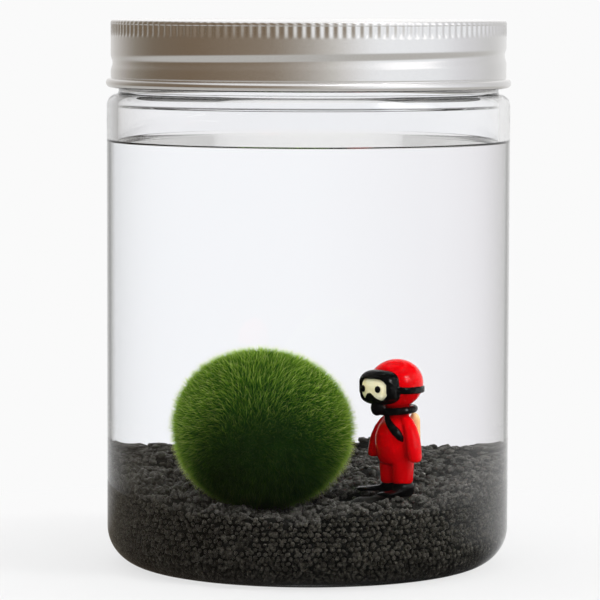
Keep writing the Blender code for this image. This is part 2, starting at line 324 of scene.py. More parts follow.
# Jar --------------------------------------------------------------------------------------------
def clear_glass(name, ior):
    """Plain clear glass that casts nearly no shadow."""
    made, tree, shader = surface(name)
    shader.inputs["Base Color"].default_value = (1.0, 1.0, 1.0, 1.0)
    shader.inputs["Roughness"].default_value = 0.0
    shader.inputs["IOR"].default_value = ior
    shader.inputs["Transmission Weight"].default_value = 1.0
    in_shadow = node(tree, "ShaderNodeLightPath").outputs["Is Shadow Ray"]
    let_by = node(tree, "ShaderNodeBsdfTransparent", [("Color", grey(0.97))])
    mix_shaders(tree, in_shadow, shader, let_by)
    return made


def make_jar():
    corner = BODY_RADIUS - CORNER_RADIUS
    foot = corner - FOOT_WIDTH
    shoulder = BODY_RADIUS - NECK_RADIUS
    inner_neck = NECK_RADIUS - NECK_WALL
    inner_shoulder = INNER_RADIUS - inner_neck
    inner_base = SHOULDER_BASE - INNER_DROP
    rim = RIM_HEIGHT - RIM_ROUND
    wet_line = WATER_LEVEL + MENISCUS_RISE

    outside = [(0.0, PUSH_UP)] + straight((0.0, PUSH_UP), (foot - 2 * PUSH_UP, PUSH_UP), 3)
    outside += straight(outside[-1], (foot, 0.0), 3)
    outside += arc(corner, CORNER_RADIUS, CORNER_RADIUS, -90, 0, 24)
    outside += straight(outside[-1], (BODY_RADIUS, SHOULDER_BASE), 12)
    outside += arc(NECK_RADIUS, SHOULDER_BASE, shoulder, 0, 72, 14)[1:]
    fillet = SHOULDER_BASE + shoulder + NECK_FILLET_RISE
    outside += arc(NECK_RADIUS + NECK_FILLET, fillet, NECK_FILLET, -110, -180, 5)
    outside += straight(outside[-1], (NECK_RADIUS, rim), 60)
    outside += arc(NECK_RADIUS - RIM_ROUND, rim, RIM_ROUND, 0, 90, 6)[1:]
    inside = arc(inner_neck + RIM_ROUND, rim, RIM_ROUND, 90, 180, 6)
    fillet = inner_base + inner_shoulder + INNER_FILLET
    inside += arc(inner_neck + INNER_FILLET, fillet, INNER_FILLET, -180, -100, 5)
    inside += arc(inner_neck, inner_base, inner_shoulder, 82, 0, 14)
    inside += straight(inside[-1], (INNER_RADIUS, wet_line), 3)
    wet = straight(inside[-1], (INNER_RADIUS, CORNER_RADIUS), 10)
    wet += arc(corner, CORNER_RADIUS, CORNER_RADIUS - WALL, 0, -90, 20)[1:]
    wet += straight(wet[-1], (0.0, WALL), 6)[:-1] + [(0.0, WALL)]

    def rib(angle, radius, height):
        if radius < NECK_RADIUS - 0.1 * MM or height < SHOULDER_BASE + shoulder:
            return 0.0
        base = GROOVE_BASE + RIB_OVER_GROOVE
        return RIB_RISE * thread(angle, height, base, RIB_START, RIB_END, RIB_HALF_WIDTH)

    verts, faces, rows = wrapped(turned(outside + inside + wet, 256, rib))
    dry_rows = len(outside) + len(inside) - 1
    glass = clear_glass("clear_glass", GLASS_INDEX)
    to_water = clear_glass("clear_glass_to_water", GLASS_INDEX / WATER_INDEX)
    jar = new_object("glass_jar", verts, faces, [glass, to_water], rows >= dry_rows)
    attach(jar, "jar_body")
    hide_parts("jar")


def make_water():
    """The jar's inner face below the water line already bends light from glass to water, so only
    the water's top has water's own index. It reaches a little way into the glass, so that no gap
    shows between them."""
    rim = INNER_RADIUS + 0.1 * MM
    level_part = INNER_RADIUS - 8 * MM     # the top is level here, and needs few rings
    radii = list(np.linspace(0, level_part, 6))
    radii += list(np.linspace(level_part + 0.5 * MM, rim, 50))

    def level(radius):
        return WATER_LEVEL + MENISCUS_RISE * np.exp(-(INNER_RADIUS - radius) / MENISCUS_REACH)

    top = [(float(r), float(level(min(r, INNER_RADIUS)))) for r in radii]
    sides = straight(top[-1], (rim, CORNER_RADIUS), 8)
    corner = BODY_RADIUS - CORNER_RADIUS
    sides += arc(corner, CORNER_RADIUS, rim - BODY_RADIUS + CORNER_RADIUS, 0, -90, 16)[1:]
    sides.append((0.0, sides[-1][1]))
    verts, faces, rows = wrapped(turned(list(reversed(top + sides)), 256))
    bottom_rows = len(sides)
    still = clear_glass("water_side", 1.0)
    surfaces = [clear_glass("water_top", WATER_INDEX), still]
    water = new_object("jar_water", verts, faces, surfaces, rows < bottom_rows)
    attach(water, "jar_body")
    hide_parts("water")


# Lid --------------------------------------------------------------------------------------------
def spun_aluminium():
    """Satin metal with fine lines that run round the axis."""
    made, tree, shader = surface("spun_aluminium")
    shader.inputs["Metallic"].default_value = 1.0
    shader.inputs["Anisotropic"].default_value = 0.5
    tangent = node(tree, "ShaderNodeTangent", direction_type="RADIAL", axis="Z")
    tree.links.new(tangent.outputs[0], shader.inputs["Tangent"])
    here = place(tree)
    axes = node(tree, "ShaderNodeSeparateXYZ", [("Vector", here)]).outputs
    flat = node(tree, "ShaderNodeCombineXYZ", [("X", axes["X"]), ("Y", axes["Y"])]).outputs[0]
    radius = length_of(tree, flat)
    turned_lines = node(tree, "ShaderNodeCombineXYZ", [("X", radius), ("Z", axes["Z"])]).outputs[0]
    lines = noise(tree, turned_lines, 5200.0, detail=2.0)
    grain = noise(tree, here, 2600.0, detail=2.0)
    tone = ramp(tree, grain, [(0.3, (0.83, 0.82, 0.81)), (0.7, (0.87, 0.86, 0.85))])
    tree.links.new(tone, shader.inputs["Base Color"])
    rough = between(tree, grain, 0.3, 0.7, 0.18, 0.21)
    tree.links.new(rough, shader.inputs["Roughness"])
    relief = maths(tree, "MULTIPLY_ADD", lines, 0.6, grain)
    bump(tree, shader, relief, 0.04, 0.05 * MM)
    return made


def make_lid():
    curl_middle = CURL_REACH - CURL_RADIUS
    curl_height = LID_BOTTOM + CURL_HEIGHT
    skirt_bottom = curl_height + 1.5 * MM
    inner = LID_RADIUS - LID_WALL
    corner_z = LID_TOP - LID_CORNER
    middle = (0.0, LID_TOP - LID_DISH)
    profile = [middle] + straight(middle, (LID_RADIUS - 3 * MM, LID_TOP - LID_DISH), 4)
    profile += straight(profile[-1], (LID_RADIUS - LID_CORNER, LID_TOP), 2)
    profile += arc(LID_RADIUS - LID_CORNER, corner_z, LID_CORNER, 90, 0, 5)[1:]
    down_the_side = (                      # (height, steps)
        (KNURL_TOP - 0.8 * MM, 5), (KNURL_BOTTOM + 0.8 * MM, 3), (KNURL_BOTTOM - 0.1 * MM, 6),
        (BAND_BOTTOM, 2), (skirt_bottom, 26),
    )
    for height, steps in down_the_side:
        profile += straight(profile[-1], (LID_RADIUS, height), steps)
    profile += straight(profile[-1], (LID_RADIUS - 0.12 * MM, curl_height + 1.05 * MM), 2)
    for r, z in arc(0.0, 0.0, 1.0, 80, -190, 16):
        profile.append((curl_middle + CURL_RADIUS * r, curl_height + CURL_HEIGHT * z))
    profile.append((inner, skirt_bottom))
    profile += straight(profile[-1], (inner, LID_TOP - LID_WALL), 12) + [(0.0, LID_TOP - LID_WALL)]

    def relief(angle, radius, height):
        turns = (angle, height, GROOVE_BASE, GROOVE_START, GROOVE_END)
        if abs(radius - inner) < 0.01 * MM and height < LID_TOP - 1.0 * MM:
            return -INNER_THREAD_DEPTH * thread(*turns, INNER_THREAD_HALF_WIDTH)
        if radius < LID_RADIUS - LID_CORNER or radius > LID_RADIUS or height < curl_height + 1.0 * MM:
            return 0.0
        groove = GROOVE_DEPTH * thread(*turns, GROOVE_HALF_WIDTH)
        wave = 0.5 - 0.5 * np.cos(KNURLS * angle)
        run_in = (height - KNURL_BOTTOM) / (1.5 * MM)
        run_out = (LID_TOP - height) / (0.9 * MM)
        ends = float(np.clip(min(run_in, run_out), 0, 1))
        return -groove - KNURL_DEPTH * wave * smooth_step(ends)

    verts, faces, _ = wrapped(turned(profile, KNURLS * 6, relief))
    lid = new_object("screw_lid", verts, faces, [spun_aluminium()])
    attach(lid, "lid_body")
    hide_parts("lid")


def make_liner():
    low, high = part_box("lid_liner")
    radius, edge = high.x, 0.25 * MM
    pressed = low.z + 0.12 * MM            # the ring that the jar's rim has pressed in
    profile = [(0.0, low.z)] + straight((0.0, low.z), (radius - 3 * MM, low.z), 3)
    profile += straight(profile[-1], (radius - 3.4 * MM, pressed), 1)
    profile += straight(profile[-1], (radius - edge, pressed), 2)
    profile += arc(radius - edge, high.z - edge, edge, 0, 90, 5) + [(0.0, high.z)]
    verts, faces, _ = wrapped(turned(profile, 128))
    made, tree, shader = surface("white_liner")
    cells = noise(tree, place(tree), 1800.0)
    tone = ramp(tree, cells, [(0.3, (0.84, 0.84, 0.82)), (0.7, (0.9, 0.9, 0.88))])
    tree.links.new(tone, shader.inputs["Base Color"])
    shader.inputs["Roughness"].default_value = 0.6
    bump(tree, shader, cells, 0.3, 0.1 * MM)
    liner = new_object("foam_liner", verts, faces, [made])
    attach(liner, "liner_body")
    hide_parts("lid_liner")


# Gravel -----------------------------------------------------------------------------------------
def waves(count, shortest, longest):
    """Random plane waves for uneven ground: direction, wave number, phase."""
    heading = rng.uniform(0, 2 * pi, count)
    number = 2 * pi / rng.uniform(shortest, longest, count)
    return list(zip(heading, number, rng.uniform(0, 2 * pi, count)))


GROUND_WAVES = waves(14, 5 * MM, 13 * MM)


def gravel_top(x, y):
    """The ground's height."""
    height = GRAVEL_HEIGHT + GRAVEL_SLOPE * y
    for heading, number, phase in GROUND_WAVES:
        height = height + GROUND_HEIGHT * np.sin(number * (x * cos(heading) + y * sin(heading)) + phase)
    from_ball = np.hypot(x - BALL_CENTRE.x, y - BALL_CENTRE.y)
    from_dip = np.hypot(x - DIP_CENTRE.x, y - DIP_CENTRE.y)
    height = height - HOLLOW * np.exp(-(from_ball / HOLLOW_SPREAD) ** 4)
    return height - FRONT_DIP * np.exp(-0.5 * (from_dip / DIP_SPREAD) ** 2)


def icosahedron():
    bm = bmesh.new()
    bmesh.ops.create_icosphere(bm, subdivisions=1, radius=1.0)
    corners = np.array([vert.co for vert in bm.verts])
    faces = np.array([[vert.index for vert in face.verts] for face in bm.faces])
    bm.free()
    return corners, faces


def turns_at_random(count):
    """Rotation matrices, one for each grain."""
    q = rng.normal(size=(count, 4))
    w, x, y, z = (q / np.linalg.norm(q, axis=1, keepdims=True)).T
    rows = [
        [1 - 2 * (y * y + z * z), 2 * (x * y - z * w), 2 * (x * z + y * w)],
        [2 * (x * y + z * w), 1 - 2 * (x * x + z * z), 2 * (y * z - x * w)],
        [2 * (x * z - y * w), 2 * (y * z + x * w), 1 - 2 * (x * x + y * y)],
    ]
    return np.moveaxis(np.array(rows), 2, 0)


def grains(name, centres, radii, material):
    """Small angular stones, joined into one mesh."""
    corners, faces = icosahedron()
    count = len(centres)
    shape = corners[None] * rng.uniform(0.78, 1.12, (count, len(corners), 1))
    shape = shape * rng.uniform(0.8, 1.15, (count, 1, 3))
    shape = np.einsum("nij,nkj->nki", turns_at_random(count), shape)
    verts = centres[:, None] + shape * radii[:, None, None]
    joined = faces[None] + (np.arange(count) * len(corners))[:, None, None]
    obj = new_object(name, verts.reshape(-1, 3), joined.reshape(-1, 3).tolist(), [material])
    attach(obj, "jar_body")
    return obj


def gravel_material(name, dark, light, speckle):
    """Each grain has its own tone between dark and light, with paler specks."""
    made, tree, shader = surface(name)
    here = place(tree)
    each = node(tree, "ShaderNodeNewGeometry").outputs["Random Per Island"]
    tone = mixed(tree, each, (*dark, 1.0), (*light, 1.0))
    speckles = noise(tree, here, 2600.0, detail=2.0)
    tone = mixed(tree, between(tree, speckles, 0.55, 0.7, 0.0, 0.5), tone, (*speckle, 1.0))
    tree.links.new(tone, shader.inputs["Base Color"])
    shader.inputs["Roughness"].default_value = 0.35
    shader.inputs["IOR"].default_value = 1.18
    bump(tree, shader, noise(tree, here, 3500.0, detail=3.0), 0.8, 0.2 * MM)
    return made


def hex_grid(width, height, spacing):
    """Points on a rectangle in staggered rows, each about as far from all its neighbours."""
    points = []
    rise = spacing * 0.87
    for row in range(int(height / rise) + 1):
        along = np.arange(0, width, spacing) + spacing * 0.5 * (row % 2)
        points.append(np.stack([along, np.full(len(along), row * rise)], 1))
    return np.concatenate(points)


def make_wall_grains():
    """The grains that press on the glass, up the wall and round the lower corner."""
    # Painted shade: the grains against the glass get darker tones than the same grains on the surface
    material = gravel_material(
        "gravel_side_painted_shade", (0.013, 0.012, 0.009), (0.045, 0.042, 0.035), (0.18, 0.17, 0.14)
    )
    half = GRAIN / 2
    wall = INNER_RADIUS - GLASS_GAP
    corner_middle = BODY_RADIUS - CORNER_RADIUS
    spacing = 0.9 * GRAIN
    around = 2 * pi * INNER_RADIUS
    bend = (CORNER_RADIUS - WALL) * radians(78)         # how far they go round the corner
    highest = 24 * MM                                   # over the corner, and over the gravel's top
    grid = hex_grid(around, bend + highest, spacing)
    grid += rng.normal(0, 0.14 * spacing, grid.shape)
    radii = half * rng.uniform(0.65, 1.1, len(grid))
    angle = grid[:, 0] / INNER_RADIUS
    climb = grid[:, 1] - bend
    tilt = np.clip(climb / (CORNER_RADIUS - WALL), -pi / 2, 0)
    reach = wall - corner_middle - 0.9 * radii
    r = corner_middle + reach * np.cos(tilt)
    z = CORNER_RADIUS + reach * np.sin(tilt) + np.clip(climb, 0, None)
    side = np.stack([r * np.cos(angle), r * np.sin(angle), z], 1)
    kept = z < gravel_top(side[:, 0], side[:, 1]) - 0.3 * half
    wall_grains = grains("gravel_against_glass", side[kept], radii[kept], material)
    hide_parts("gravel")


def make_top_grains():
    """The grains on the surface. They lie outside the ball's body and under the diver's feet."""
    # Painted light: the grains on the surface get paler tones than the same grains against the glass, for
    # the light from above
    material = gravel_material(
        "gravel_top", (0.022, 0.021, 0.018), (0.06, 0.058, 0.052), (0.17, 0.16, 0.14)
    )
    half = GRAIN / 2
    wall = INNER_RADIUS - GLASS_GAP
    grid = hex_grid(2 * INNER_RADIUS, 2 * INNER_RADIUS, 0.86 * GRAIN) - INNER_RADIUS
    grid += rng.normal(0, 0.22 * GRAIN, grid.shape)
    radii = half * rng.uniform(0.7, 1.3, len(grid))
    level = gravel_top(grid[:, 0], grid[:, 1]) - 0.2 * half + rng.normal(0, 0.25 * half, len(grid))
    middle = DIVER_PLACE.xy + LEVEL_FROM_DIVER
    to_middle = np.hypot(grid[:, 0] - middle.x, grid[:, 1] - middle.y)
    under_feet = DIVER_PLACE.z - 0.3 * MM - radii
    level = np.where(to_middle < LEVEL_GROUND, np.minimum(level, under_feet), level)
    top = np.stack([grid[:, 0], grid[:, 1], level], 1)
    kept = np.hypot(grid[:, 0], grid[:, 1]) < wall - 0.9 * radii
    kept &= np.linalg.norm(top - np.array(BALL_CENTRE), axis=1) > BALL_RADIUS - 1.4 * MM
    grains("gravel_on_top", top[kept], radii[kept], material)


def make_bed():
    """The dark bed that the grains lie on, so that no light comes through between them. It is darker than
    any grain: painted shade deep in the gaps.
    """
    # Painted shade: near black, darker than any grain
    material = gravel_material(
        "gravel_bed_painted_shade", (0.004, 0.004, 0.003), (0.006, 0.006, 0.005), (0.01, 0.01, 0.009)
    )
    inset = 1.0 * MM
    depth = 0.35 * MM
    segments = 128
    rings = turned([(0.0, WALL + 0.5 * MM)], segments)
    profile = arc(BODY_RADIUS - CORNER_RADIUS, CORNER_RADIUS, CORNER_RADIUS - WALL - inset, -90, 0, 10)
    rings += turned(profile, segments)
    for share in np.linspace(1, 0, 40)[:-1]:
        x, y = round_ring((INNER_RADIUS - inset) * share, segments)
        rings.append(np.stack([x, y, gravel_top(x, y) - depth], 1))
    rings.append(np.array([[0.0, 0.0, float(gravel_top(0.0, 0.0)) - depth]]))
    verts, faces, _ = wrapped(rings)
    bed = new_object("gravel_bed_painted_shade", verts, faces, [material])
    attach(bed, "jar_body")


# Moss ball --------------------------------------------------------------------------------------
# The ball's green, from the felted body out to the fibres' tips; darkest deep in, where it is partly
# painted shade among the fibres
GREENS_AND_DEPTH_SHADE = (
    (0.0, (0.008, 0.035, 0.002)),
    (0.4, (0.04, 0.14, 0.008)),
    (0.75, (0.36, 0.58, 0.06)),
    (1.0, (0.85, 0.92, 0.32)),
)


def moss_material(name, translucent):
    """Colour by distance from the ball's centre, darkest deep in among the fibres, partly as painted
    shade, with painted shade on the front and lower side.
    """
    made, tree, shader = surface(name)
    here = place(tree)
    share = between(tree, length_of(tree, here), BALL_RADIUS - FIBRE_LENGTH, BALL_RADIUS + 0.2 * MM)
    # Partly painted shade: the green darkens towards the fibres' roots
    tone = ramp(tree, share, GREENS_AND_DEPTH_SHADE)
    # Painted shade: the green is darkened towards the front and lower side, where less light falls
    side = node(tree, "ShaderNodeVectorMath", [(0, here), (1, PAINTED_SHADE_SIDE)], operation="DOT_PRODUCT")
    painted_shade = between(tree, side.outputs["Value"], 0.1 * BALL_RADIUS, 0.8 * BALL_RADIUS, 0.0, 0.92)
    tone = mixed(tree, painted_shade, tone, (0.012, 0.045, 0.003, 1.0))
    streaks = noise(tree, here, 420.0, detail=3.0)
    streaky = between(tree, streaks, 0.35, 0.65, 0.0, 0.5)
    tone = mixed(tree, streaky, tone, (0.45, 0.60, 0.30, 1.0), "MULTIPLY")
    tree.links.new(tone, shader.inputs["Base Color"])
    shader.inputs["Roughness"].default_value = 0.7
    shader.inputs["IOR"].default_value = 1.2
    if translucent:
        glow = node(tree, "ShaderNodeBsdfTranslucent", [("Color", tone)])
        mix_shaders(tree, translucent, shader, glow)
    return made


def sphere_points(count):
    """Evenly spread directions, a little disturbed."""
    i = np.arange(count) + 0.5
    z = 1 - 2 * i / count
    turn = pi * (1 + 5 ** 0.5) * i
    r = np.sqrt(1 - z * z)
    points = np.stack([r * np.cos(turn), r * np.sin(turn), z], 1)
    points += rng.normal(0, 1.2 / count ** 0.5, points.shape)
    return unit(points)


def make_fibres():
    """Fibres that lean in drifts. Each is a thin strip that narrows to a point."""
    out = sphere_points(FIBRES)
    swirl = np.zeros_like(out)
    for _ in range(10):
        axis, wave, phase = rng.normal(size=3), rng.normal(size=3) * 3.5, rng.uniform(0, 2 * pi)
        swirl += np.cross(out, axis) * np.sin(out @ wave + phase)[:, None]
    lean = unit(out + 0.11 * swirl + rng.normal(0, 0.21, out.shape))
    length = FIBRE_LENGTH * (0.6 + 0.55 * rng.uniform(0, 1, FIBRES)[:, None] ** 2)
    root = out * (BALL_RADIUS - FIBRE_LENGTH)
    middle = root + unit(out + 0.5 * lean) * length * 0.55
    tip = root + lean * length * 1.05
    tip[:, 2] -= FIBRE_DROOP
    across = unit(np.cross(lean, rng.normal(size=out.shape)))
    width = FIBRE_WIDTH * rng.uniform(0.7, 1.3, FIBRES)[:, None]
    wide = across * width
    narrower = across * width * 0.8
    verts = np.stack([root - wide, root + wide, middle + narrower, middle - narrower, tip], 1)
    first = 5 * np.arange(FIBRES)
    quads = np.stack([first, first + 1, first + 2, first + 3], 1).tolist()
    ends = np.stack([first + 3, first + 2, first + 4], 1).tolist()
    material = moss_material("moss_fibre", 0.65)
    fibres = new_object("moss_fibres", verts.reshape(-1, 3), quads + ends, [material])
    fibres.location = BALL_CENTRE
    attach(fibres, "jar_body")


def make_felt():
    """The dense body that the fibres grow from."""
    bm = bmesh.new()
    bmesh.ops.create_icosphere(bm, subdivisions=5, radius=BALL_RADIUS - FIBRE_LENGTH + 0.25 * MM)
    for vert in bm.verts:
        vert.co *= 1 + rng.normal(0, 0.004)
    mesh = bpy.data.meshes.new("moss_body")
    bm.to_mesh(mesh)
    bm.free()
    mesh.shade_smooth()
    mesh.materials.append(moss_material("moss_felt", 0.0))
    body = put_in_scene("moss_body", mesh)
    body.location = BALL_CENTRE
    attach(body, "jar_body")
    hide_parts("moss_ball")


# Diver ------------------------------------------------------------------------------------------
def ellipsoid(centre, radii, power=1.0):
    """Vertices and faces of an ellipsoid; a power under 1 squares its corners off."""
    bm = bmesh.new()
    bmesh.ops.create_icosphere(bm, subdivisions=4, radius=1.0)
    co = np.array([vert.co for vert in bm.verts])
    faces = [[vert.index for vert in face.verts] for face in bm.faces]
    bm.free()
    co = np.abs(co) ** power * np.sign(co)
    return co * np.array(radii) + np.array(centre), faces


def loft(sections, axis="Z", sides=32):
    """A closed shape through ellipses. Each is (place along the axis, centre, centre, half size,
    half size)."""
    angle = 2 * pi * np.arange(sides) / sides
    rings = []
    for along, a, b, half_a, half_b in sections:
        first, second = a + half_a * np.cos(angle), b + half_b * np.sin(angle)
        level = np.full(sides, along)
        rings.append(np.stack([first, second, level] if axis == "Z" else [first, level, second], 1))
    first_end, last_end = (ring.mean(0, keepdims=True) for ring in (rings[0], rings[-1]))
    verts, faces, _ = wrapped([first_end] + rings + [last_end])
    if axis == "Y":
        faces = [face[::-1] for face in faces]
    return verts, faces


def rod(points, radii, sides=20):
    """A round bar through points, with its own radius at each."""
    points = np.array(points, float)
    along = unit(np.gradient(points, axis=0))
    side = unit(np.cross(along, [0.3, 0.2, 1.0]))
    other = np.cross(along, side)
    angle = 2 * pi * np.arange(sides) / sides
    rings = []
    for centre, a, b, radius in zip(points, side, other, radii):
        rings.append(centre + radius * (np.cos(angle)[:, None] * a + np.sin(angle)[:, None] * b))
    verts, faces, _ = wrapped([points[:1]] + rings + [points[-1:]])
    return verts, faces


def smooth_line(points, steps):
    """A smooth curve through points, by Catmull and Rom's rule."""
    points = np.array(points, float)
    ends = np.concatenate([[2 * points[0] - points[1]], points, [2 * points[-1] - points[-2]]])
    made = []
    for a, b, c, d in zip(ends, ends[1:], ends[2:], ends[3:]):
        for t in np.linspace(0, 1, steps, endpoint=False):
            made.append(0.5 * (2 * b + (c - a) * t + (2 * a - 5 * b + 4 * c - d) * t ** 2
                               + (3 * b - a - 3 * c + d) * t ** 3))
    return np.array(made + [points[-1]])


def joined(shapes):
    verts, faces, start = [], [], 0
    for shape_verts, shape_faces in shapes:
        verts.append(shape_verts)
        faces += [[index + start for index in face] for face in shape_faces]
        start += len(shape_verts)
    return np.concatenate(verts), faces


def fused(name, node_name, shapes, material, voxel=0.2, rounds=6, cut=None):
    """Glass shapes melted into one: joined, remeshed and smoothed, then set in place."""
    lump = new_object(name + "_lump", *joined(shapes), [material])
    melt = lump.modifiers.new("melt", "REMESH")
    melt.mode = "VOXEL"
    melt.voxel_size = voxel
    if cut is not None:
        tool = new_object(name + "_cut", *cut, [material])
        slice_it = lump.modifiers.new("cut", "BOOLEAN")
        slice_it.operation = "DIFFERENCE"
        slice_it.object = tool
        again = lump.modifiers.new("melt_again", "REMESH")
        again.mode = "VOXEL"
        again.voxel_size = voxel
    soften = lump.modifiers.new("soften", "SMOOTH")
    soften.factor = 0.5
    soften.iterations = rounds
    graph = bpy.context.evaluated_depsgraph_get()
    mesh = bpy.data.meshes.new_from_object(lump.evaluated_get(graph))
    bpy.data.objects.remove(lump)
    if cut is not None:
        bpy.data.objects.remove(tool)
    turn = Matrix.Rotation(DIVER_YAW, 4, "Z")
    mesh.transform(Matrix.Translation(DIVER_PLACE) @ turn @ Matrix.Scale(MM, 4))
    mesh.shade_smooth()
    obj = put_in_scene(name, mesh)
    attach(obj, "jar_body")
    if node_name:
        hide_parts(node_name)


def coloured_glass(name, light, dark):
    """Opaque lampwork glass: its colour runs a little from light to dark."""
    made, tree, shader = surface(name)
    run = noise(tree, place(tree), 260.0, detail=2.0)
    tone = mixed(tree, between(tree, run, 0.3, 0.7), (*dark, 1.0), (*light, 1.0))
    tree.links.new(tone, shader.inputs["Base Color"])
    shader.inputs["Roughness"].default_value = 0.045
    shader.inputs["IOR"].default_value = 1.3
    bump(tree, shader, noise(tree, place(tree), 500.0, detail=1.0), 0.04, 0.2 * MM)
    return made


def arm(side, swing, lift, spread=0.0):
    """An arm that goes back by swing in each 10 mm down. lift and spread raise its hand and move it
    outward. Its sections are (height, distance out, half width, half depth)."""
    sections = (
        (8.5, 5.6, 0.6, 0.8), (8.8, 5.6, 1.1, 1.4), (9.6, 5.6, 1.3, 1.75), (12.0, 5.5, 1.35, 1.85),
        (14.5, 5.2, 1.4, 1.85), (17.0, 4.4, 1.35, 1.7), (19.0, 3.3, 1.2, 1.4), (20.2, 2.2, 0.9, 1.0),
    )
    hand, shoulder = sections[0][0], sections[-1][0]
    moved = []
    for z, x, half_x, half_y in sections:
        down = (shoulder - z) / (shoulder - hand)
        back = swing * (ARM_PIVOT - z) / 10
        moved.append((z + lift * down, side * (x + spread * down), back, half_x, half_y))
    return loft(moved)


def leg(side):
    return loft([
        (3.3, side * 2.15, 0, 1.8, 1.9), (3.9, side * 2.15, 0, 2.05, 2.3),
        (7.0, side * 2.2, 0, 2.1, 2.5), (10.0, side * 2.1, 0, 2.15, 2.7),
    ])


def make_suit():
    red = coloured_glass("red_glass", (0.50, 0.0, 0.002), (0.44, 0.0, 0.001))
    torso = loft([
        (8.0, 0, 0, 3.6, 2.2), (8.6, 0, -0.4, 4.1, 3.0), (10.0, 0, -0.6, 4.3, 3.5),
        (12.5, 0, -0.8, 4.4, 4.0), (15.5, 0, -0.8, 4.2, 4.0), (18.0, 0, -0.5, 3.6, 3.4),
        (19.6, 0, 0, 2.8, 2.6), (23.0, 0, 0, 2.6, 2.5),
    ])
    head = ellipsoid((0, HEAD_FORWARD, HEAD_HEIGHT), (HEAD_RADIUS,) * 3)
    near_arm = arm(1, swing=0.3, lift=0.2, spread=0.6)
    far_arm = arm(-1, swing=-1.2, lift=1.2)
    shapes = [torso, head, near_arm, far_arm, leg(-1), leg(1)]
    fused("diver_red_suit", "diver_suit", shapes, red)


def window():
    """The outline of the mask's window, with the nose rising into it from below, as a bar through
    the mask's frame."""
    half_width, top, bottom = 4.5, 2.5, -2.9
    nose_height, nose_width = 2.0, 1.6
    across = np.linspace(-half_width, half_width, 41)
    corner = (np.abs(across) / half_width) ** 6
    high = top - 1.3 * corner
    low = bottom + nose_height * np.exp(-(across / nose_width) ** 2) + 1.4 * corner
    outline = np.concatenate([np.stack([across, high], 1), np.stack([across, low], 1)[::-1]])
    count = len(outline)
    rings = []
    for depth in (-9.5, -6.0):
        rings.append(np.stack([outline[:, 0], np.full(count, depth), MASK_HEIGHT + outline[:, 1]], 1))
    faces = [[i, (i + 1) % count, count + (i + 1) % count, count + i] for i in range(count)]
    faces += [list(range(count))[::-1], list(range(count, 2 * count))]
    return np.concatenate(rings), faces


def make_mask(black):
    """The mask's frame with its strap, which sags at the side and the back of the head."""
    frame_shape = ellipsoid((0, -4.5, MASK_HEIGHT + 0.3), (5.2, 3.6, 4.3), power=0.7)
    angle = np.linspace(-pi, pi, 61)
    sag = 1.45 - 0.85 * np.exp(-((np.abs(angle) - radians(30)) / radians(25)) ** 2)
    around = HEAD_RADIUS - 0.1
    strap = [around * np.sin(angle), HEAD_FORWARD - around * np.cos(angle), HEAD_HEIGHT - sag]
    strap = np.stack(strap, 1)
    thickness = np.full(len(strap), STRAP_RADIUS)
    shapes = [frame_shape] + [rod(strap + [0, 0, lift], thickness) for lift in (-0.45, 0.0, 0.45)]
    fused(
        "diver_black_mask", "diver_mask", shapes, black, voxel=0.14, rounds=4, cut=window()
    )


def make_face(black):
    cream = coloured_glass("cream_glass", (1.0, 0.96, 0.70), (0.98, 0.86, 0.50))
    face = ellipsoid((0, -4.3, MASK_HEIGHT), (4.8, 3.4, 3.7), power=0.8)
    fused("diver_cream_face", "diver_face", [face], cream)
    eyes = [ellipsoid((side * 2.5, -7.5, MASK_HEIGHT), (0.85, 0.5, 0.85)) for side in (-1, 1)]
    fused("diver_eyes", None, eyes, black, voxel=0.1, rounds=2)


def make_hose(black):
    """A collar round the neck with its mouthpiece, and a tail that hangs down the chest."""
    angle = np.linspace(0, 2 * pi, 49)
    forward = np.cos(angle)
    ring = [COLLAR_RADIUS * np.sin(angle), -COLLAR_RADIUS * forward, COLLAR_HEIGHT - 0.25 * forward]
    ring = np.stack(ring, 1)
    collar = rod(ring, np.full(len(ring), 0.95))
    mouthpiece = ellipsoid((0.1, -5.6, 22.2), (1.4, 1.5, 2.0))
    path = smooth_line([
        (0.3, -3.1, 20.4), (0.9, -3.3, 19.0), (2.2, -3.4, 17.6), (3.3, -2.95, 16.3),
        (3.9, -2.3, 15.0), (4.25, -1.6, 13.8),
    ], 8)
    along = np.linspace(0, 1, len(path))
    tail = rod(path, np.interp(along, [0, 0.25, 0.6, 0.85, 1], [0.5, 0.75, 1.05, 0.8, 0.15]))
    shapes = [collar, mouthpiece, tail]
    fused("diver_black_hose", "diver_hose", shapes, black, voxel=0.14, rounds=4)


def make_tank():
    amber = coloured_glass("amber_glass", (0.80, 0.52, 0.27), (0.62, 0.34, 0.14))
    bottle = loft([
        (9.5, 0, 5.0, 0.5, 0.5), (9.9, 0, 5.0, 1.0, 1.0), (10.6, 0, 5.0, 1.15, 1.15),
        (18.6, 0, 4.8, 1.15, 1.15), (19.5, 0, 4.7, 0.95, 0.95), (20.0, 0, 4.6, 0.6, 0.6),
        (20.2, 0, 4.6, 0.3, 0.3),
    ])
    fused("diver_amber_tank", "diver_tank", [bottle], amber, voxel=0.14)


